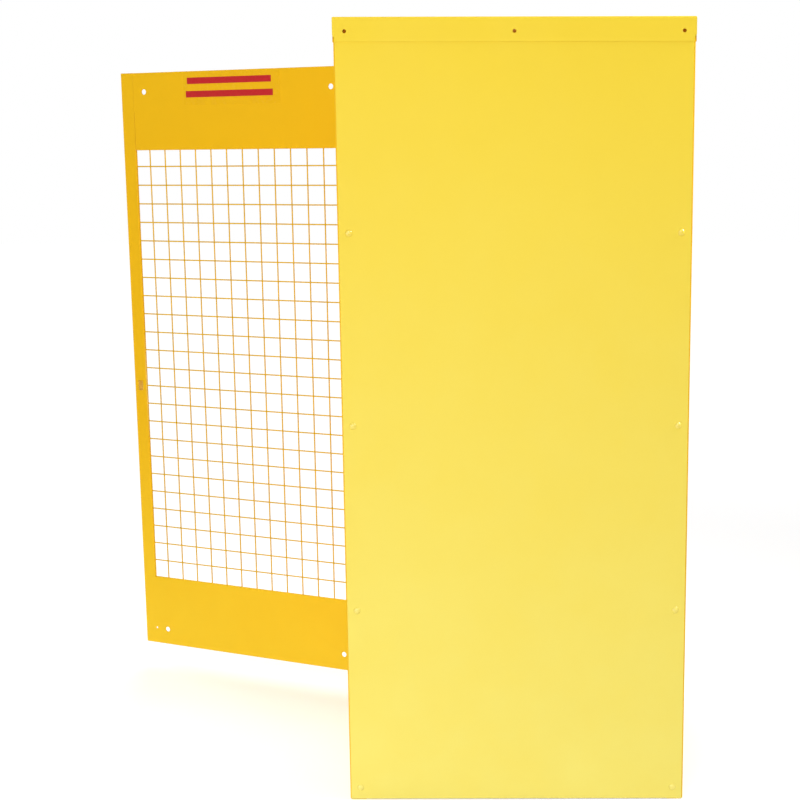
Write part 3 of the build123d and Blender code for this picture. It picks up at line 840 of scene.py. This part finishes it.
def weld_beads(name, body, runs):
    """Rippled weld beads along straight runs, each a pair of end points, under the paint."""
    bead_size = Vector((bead_ripple, bead_width / 2, bead_width / 2))
    tree = Tree("weld_bead", Ripple=bead_ripple, Bead_Size=bead_size, Seed=bead_seed,
                Material=cabinet_coat)
    path = tree.node("GeometryNodeMeshToCurve", {"Mesh": tree["Geometry"]}).outputs[0]
    path = tree.node("GeometryNodeResampleCurve", {"Curve": path, "Length": tree["Ripple"]},
                     mode="LENGTH").outputs[0]
    tangent = tree.node("GeometryNodeInputTangent", {}).outputs[0]
    turn = tree.node("FunctionNodeAlignRotationToVector", {"Vector": tangent}, axis="X").outputs[0]
    scale = tree.scaled(tree["Bead Size"], tree.random(bead_least, bead_most))
    start = bpy.data.meshes.new(name)
    points = [point for run in runs for point in run]
    edges = [(index, index + 1) for index in range(0, len(points), 2)]
    start.from_pydata(points, edges, [])
    copies = tree.place(path, tree.ball(1.0), rotation=turn, scale=scale)
    beads = tree.bake(name, copies, start)
    finish_piece(beads, body, "paint")


def rectangle_runs(low, high, axis, level):
    """The four sides of a rectangle in the plane at a level of an axis, as weld runs."""
    first, second = [other for other in range(3) if other != axis]

    def corner(at_first, at_second):
        point = [level] * 3
        point[first] = at_first
        point[second] = at_second
        return tuple(point)

    corners = [corner(low[first], low[second]), corner(high[first], low[second]),
               corner(high[first], high[second]), corner(low[first], high[second])]
    return [(corners[index], corners[(index + 1) % 4]) for index in range(4)]


def make_welds():
    """Welds of the hinge leaves, the padlock staple and the restraint rails."""
    cabinet_runs = []
    door_runs = []
    side_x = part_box("right_side_panel")[1].x
    return_x = closed_box("door_hinge_stile")[1].x
    for level in ("bottom", "middle", "top"):
        low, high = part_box(f"{level}_hinge_fixed_leaf")
        near = low.y + bead_end_gap
        cabinet_runs += [
            ((side_x, near, low.z), (side_x, high.y, low.z)),
            ((side_x, high.y, low.z), (side_x, high.y, high.z)),
            ((side_x, high.y, high.z), (side_x, near, high.z)),
        ]
        low, high = closed_box(f"{level}_hinge_door_leaf")
        near = high.y - bead_end_gap
        door_runs += [
            ((return_x, near, low.z), (return_x, low.y, low.z)),
            ((return_x, low.y, low.z), (return_x, low.y, high.z)),
            ((return_x, low.y, high.z), (return_x, near, high.z)),
        ]
    low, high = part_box("padlock_staple")
    cabinet_runs += rectangle_runs(low, high, 1, high.y)
    for side in ("right", "left"):
        low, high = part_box(f"{side}_restraint_rails")
        wall_x = high.x if side == "right" else low.x
        for rail_low in (low.z, high.z - rail_face_height):
            for edge in (rail_low, rail_low + rail_face_height):
                for index in range(rail_stitches):
                    middle = low.y + (index + 0.5) * (high.y - low.y) / rail_stitches
                    cabinet_runs.append((
                        (wall_x, middle - stitch_length / 2, edge),
                        (wall_x, middle + stitch_length / 2, edge)))
    weld_beads("cabinet_welds", "cabinet", cabinet_runs)
    weld_beads("door_welds", "door", door_runs)


def mesh_object(name, mesh, material):
    """Object for a finished mesh, in one material."""
    mesh.materials.clear()
    mesh.materials.append(material)
    piece = bpy.data.objects.new(name, mesh)
    bpy.context.scene.collection.objects.link(piece)
    return piece


def make_pads():
    """Ribbed rubber pads on the latch jamb."""
    low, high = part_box("door_bumpers")
    step = (high.z - low.z - pad_height) / (pad_count - 1)
    blocks = []
    for index in range(pad_count):
        bottom = low.z + index * step
        blocks.append(soft_block("pad", (low.x, low.y + pad_rib, bottom),
                                 (high.x, high.y, bottom + pad_height), pad_edge))
        rib_step = pad_height / (pad_ribs + 1)
        for rib in range(pad_ribs):
            middle = bottom + (rib + 1) * rib_step
            blocks.append(soft_block(
                "pad_rib", (low.x + pad_rib, low.y, middle - pad_rib),
                (high.x - pad_rib, low.y + 2 * pad_rib, middle + pad_rib), pad_rib_edge))
    pads = mesh_object("door_pads", joined("door_pads", *blocks), rubber)
    finish_piece(pads, "cabinet", "rubber", "door_bumpers")


def make_film():
    """Bare clear film on the door's top band, with two plain red bars printed on it."""
    face_y = closed_box("door_top_band")[0].y
    free_x = closed_box("door_latch_stile")[0].x
    top = closed_box("door_top_band")[1].z

    def plate(name, left, right, above, below, back, thickness, material):
        low = (free_x + left, back - thickness, top - below)
        high = (free_x + right, back, top - above)
        block = soft_block(name, low, high, thickness * plate_edge_share)
        piece = mesh_object(name, block, material)
        finish_piece(piece, "door", "paint")

    plate("film_patch", film_left, film_right, film_above, film_below, face_y, film_thickness,
          film)
    ink_back = face_y - film_thickness
    plate("upper_bar", upper_bar_left, upper_bar_right, upper_bar_above,
          upper_bar_above + bar_height, ink_back, ink_thickness, red_ink)
    plate("lower_bar", lower_bar_left, lower_bar_right, lower_bar_above,
          lower_bar_above + bar_height, ink_back, ink_thickness, red_ink)


def make_floor():
    """Wide floor under the cabinet."""
    mesh = bpy.data.meshes.new("floor")
    corners = [(-1, -1), (1, -1), (1, 1), (-1, 1)]
    mesh.from_pydata([(x * floor_half, y * floor_half, 0) for x, y in corners], [], [(0, 1, 2, 3)])
    mesh.materials.append(studio_floor())
    floor = bpy.data.objects.new("floor", mesh)
    bpy.context.scene.collection.objects.link(floor)


def make_world():
    """White surroundings, dimmer as a light than the camera sees them."""
    world = bpy.data.worlds.new("studio")
    bpy.context.scene.world = world
    world.use_nodes = True
    tree = world.node_tree
    background = tree.nodes["Background"]
    background.inputs["Color"].default_value = white
    rays = tree.nodes.new("ShaderNodeLightPath")
    strength = tree.nodes.new("ShaderNodeMapRange")
    tree.links.new(rays.outputs["Is Camera Ray"], strength.inputs["Value"])
    strength.inputs["To Min"].default_value = world_light
    strength.inputs["To Max"].default_value = world_seen
    tree.links.new(strength.outputs["Result"], background.inputs["Strength"])


def soft_box(name, place, aim, width, height, power, spread, glints):
    """Area light at a place, turned to a point, kept to a cone by its grid.

    A light without glints fills in shadow and isn't mirrored by the paint.
    """
    lamp = bpy.data.lights.new(name, "AREA")
    lamp.shape = "RECTANGLE"
    lamp.size = width
    lamp.size_y = height
    lamp.energy = power
    lamp.spread = spread
    light = bpy.data.objects.new(name, lamp)
    light.location = place
    light.visible_glossy = glints
    light.rotation_euler = (Vector(aim) - Vector(place)).to_track_quat("-Z", "Y").to_euler()
    bpy.context.scene.collection.objects.link(light)


def make_camera():
    """Camera at the photograph's place, with the photograph's off-centre framing."""
    forward = Vector((
        sin(camera_yaw) * cos(camera_pitch),
        -cos(camera_yaw) * cos(camera_pitch),
        -sin(camera_pitch),
    ))
    level = Vector((-cos(camera_yaw), -sin(camera_yaw), 0))
    upright = level.cross(forward)
    right = cos(camera_roll) * level - sin(camera_roll) * upright
    up = sin(camera_roll) * level + cos(camera_roll) * upright
    camera = bpy.data.cameras.new("photo_camera")
    camera.lens = focal_length_px * camera.sensor_width / photo_width_px
    camera.shift_x = (photo_width_px / 2 - view_centre_x_px) / photo_width_px
    camera.shift_y = (view_centre_y_px - photo_width_px / 2) / photo_width_px
    camera.clip_end = view_reach
    holder = bpy.data.objects.new("photo_camera", camera)
    turned = Matrix((right, up, -forward)).transposed().to_4x4()
    holder.matrix_world = Matrix.Translation((camera_x, camera_y, camera_z)) @ turned
    bpy.context.scene.collection.objects.link(holder)
    bpy.context.scene.camera = holder


paint_frame()
make_weld_mesh()
make_bolts()
make_nuts()
make_welds()
make_pads()
make_film()
make_floor()
make_world()
for name, settings in lamps.items():
    soft_box(name, **settings)
make_camera()
bpy.context.scene.view_settings.view_transform = "Standard"
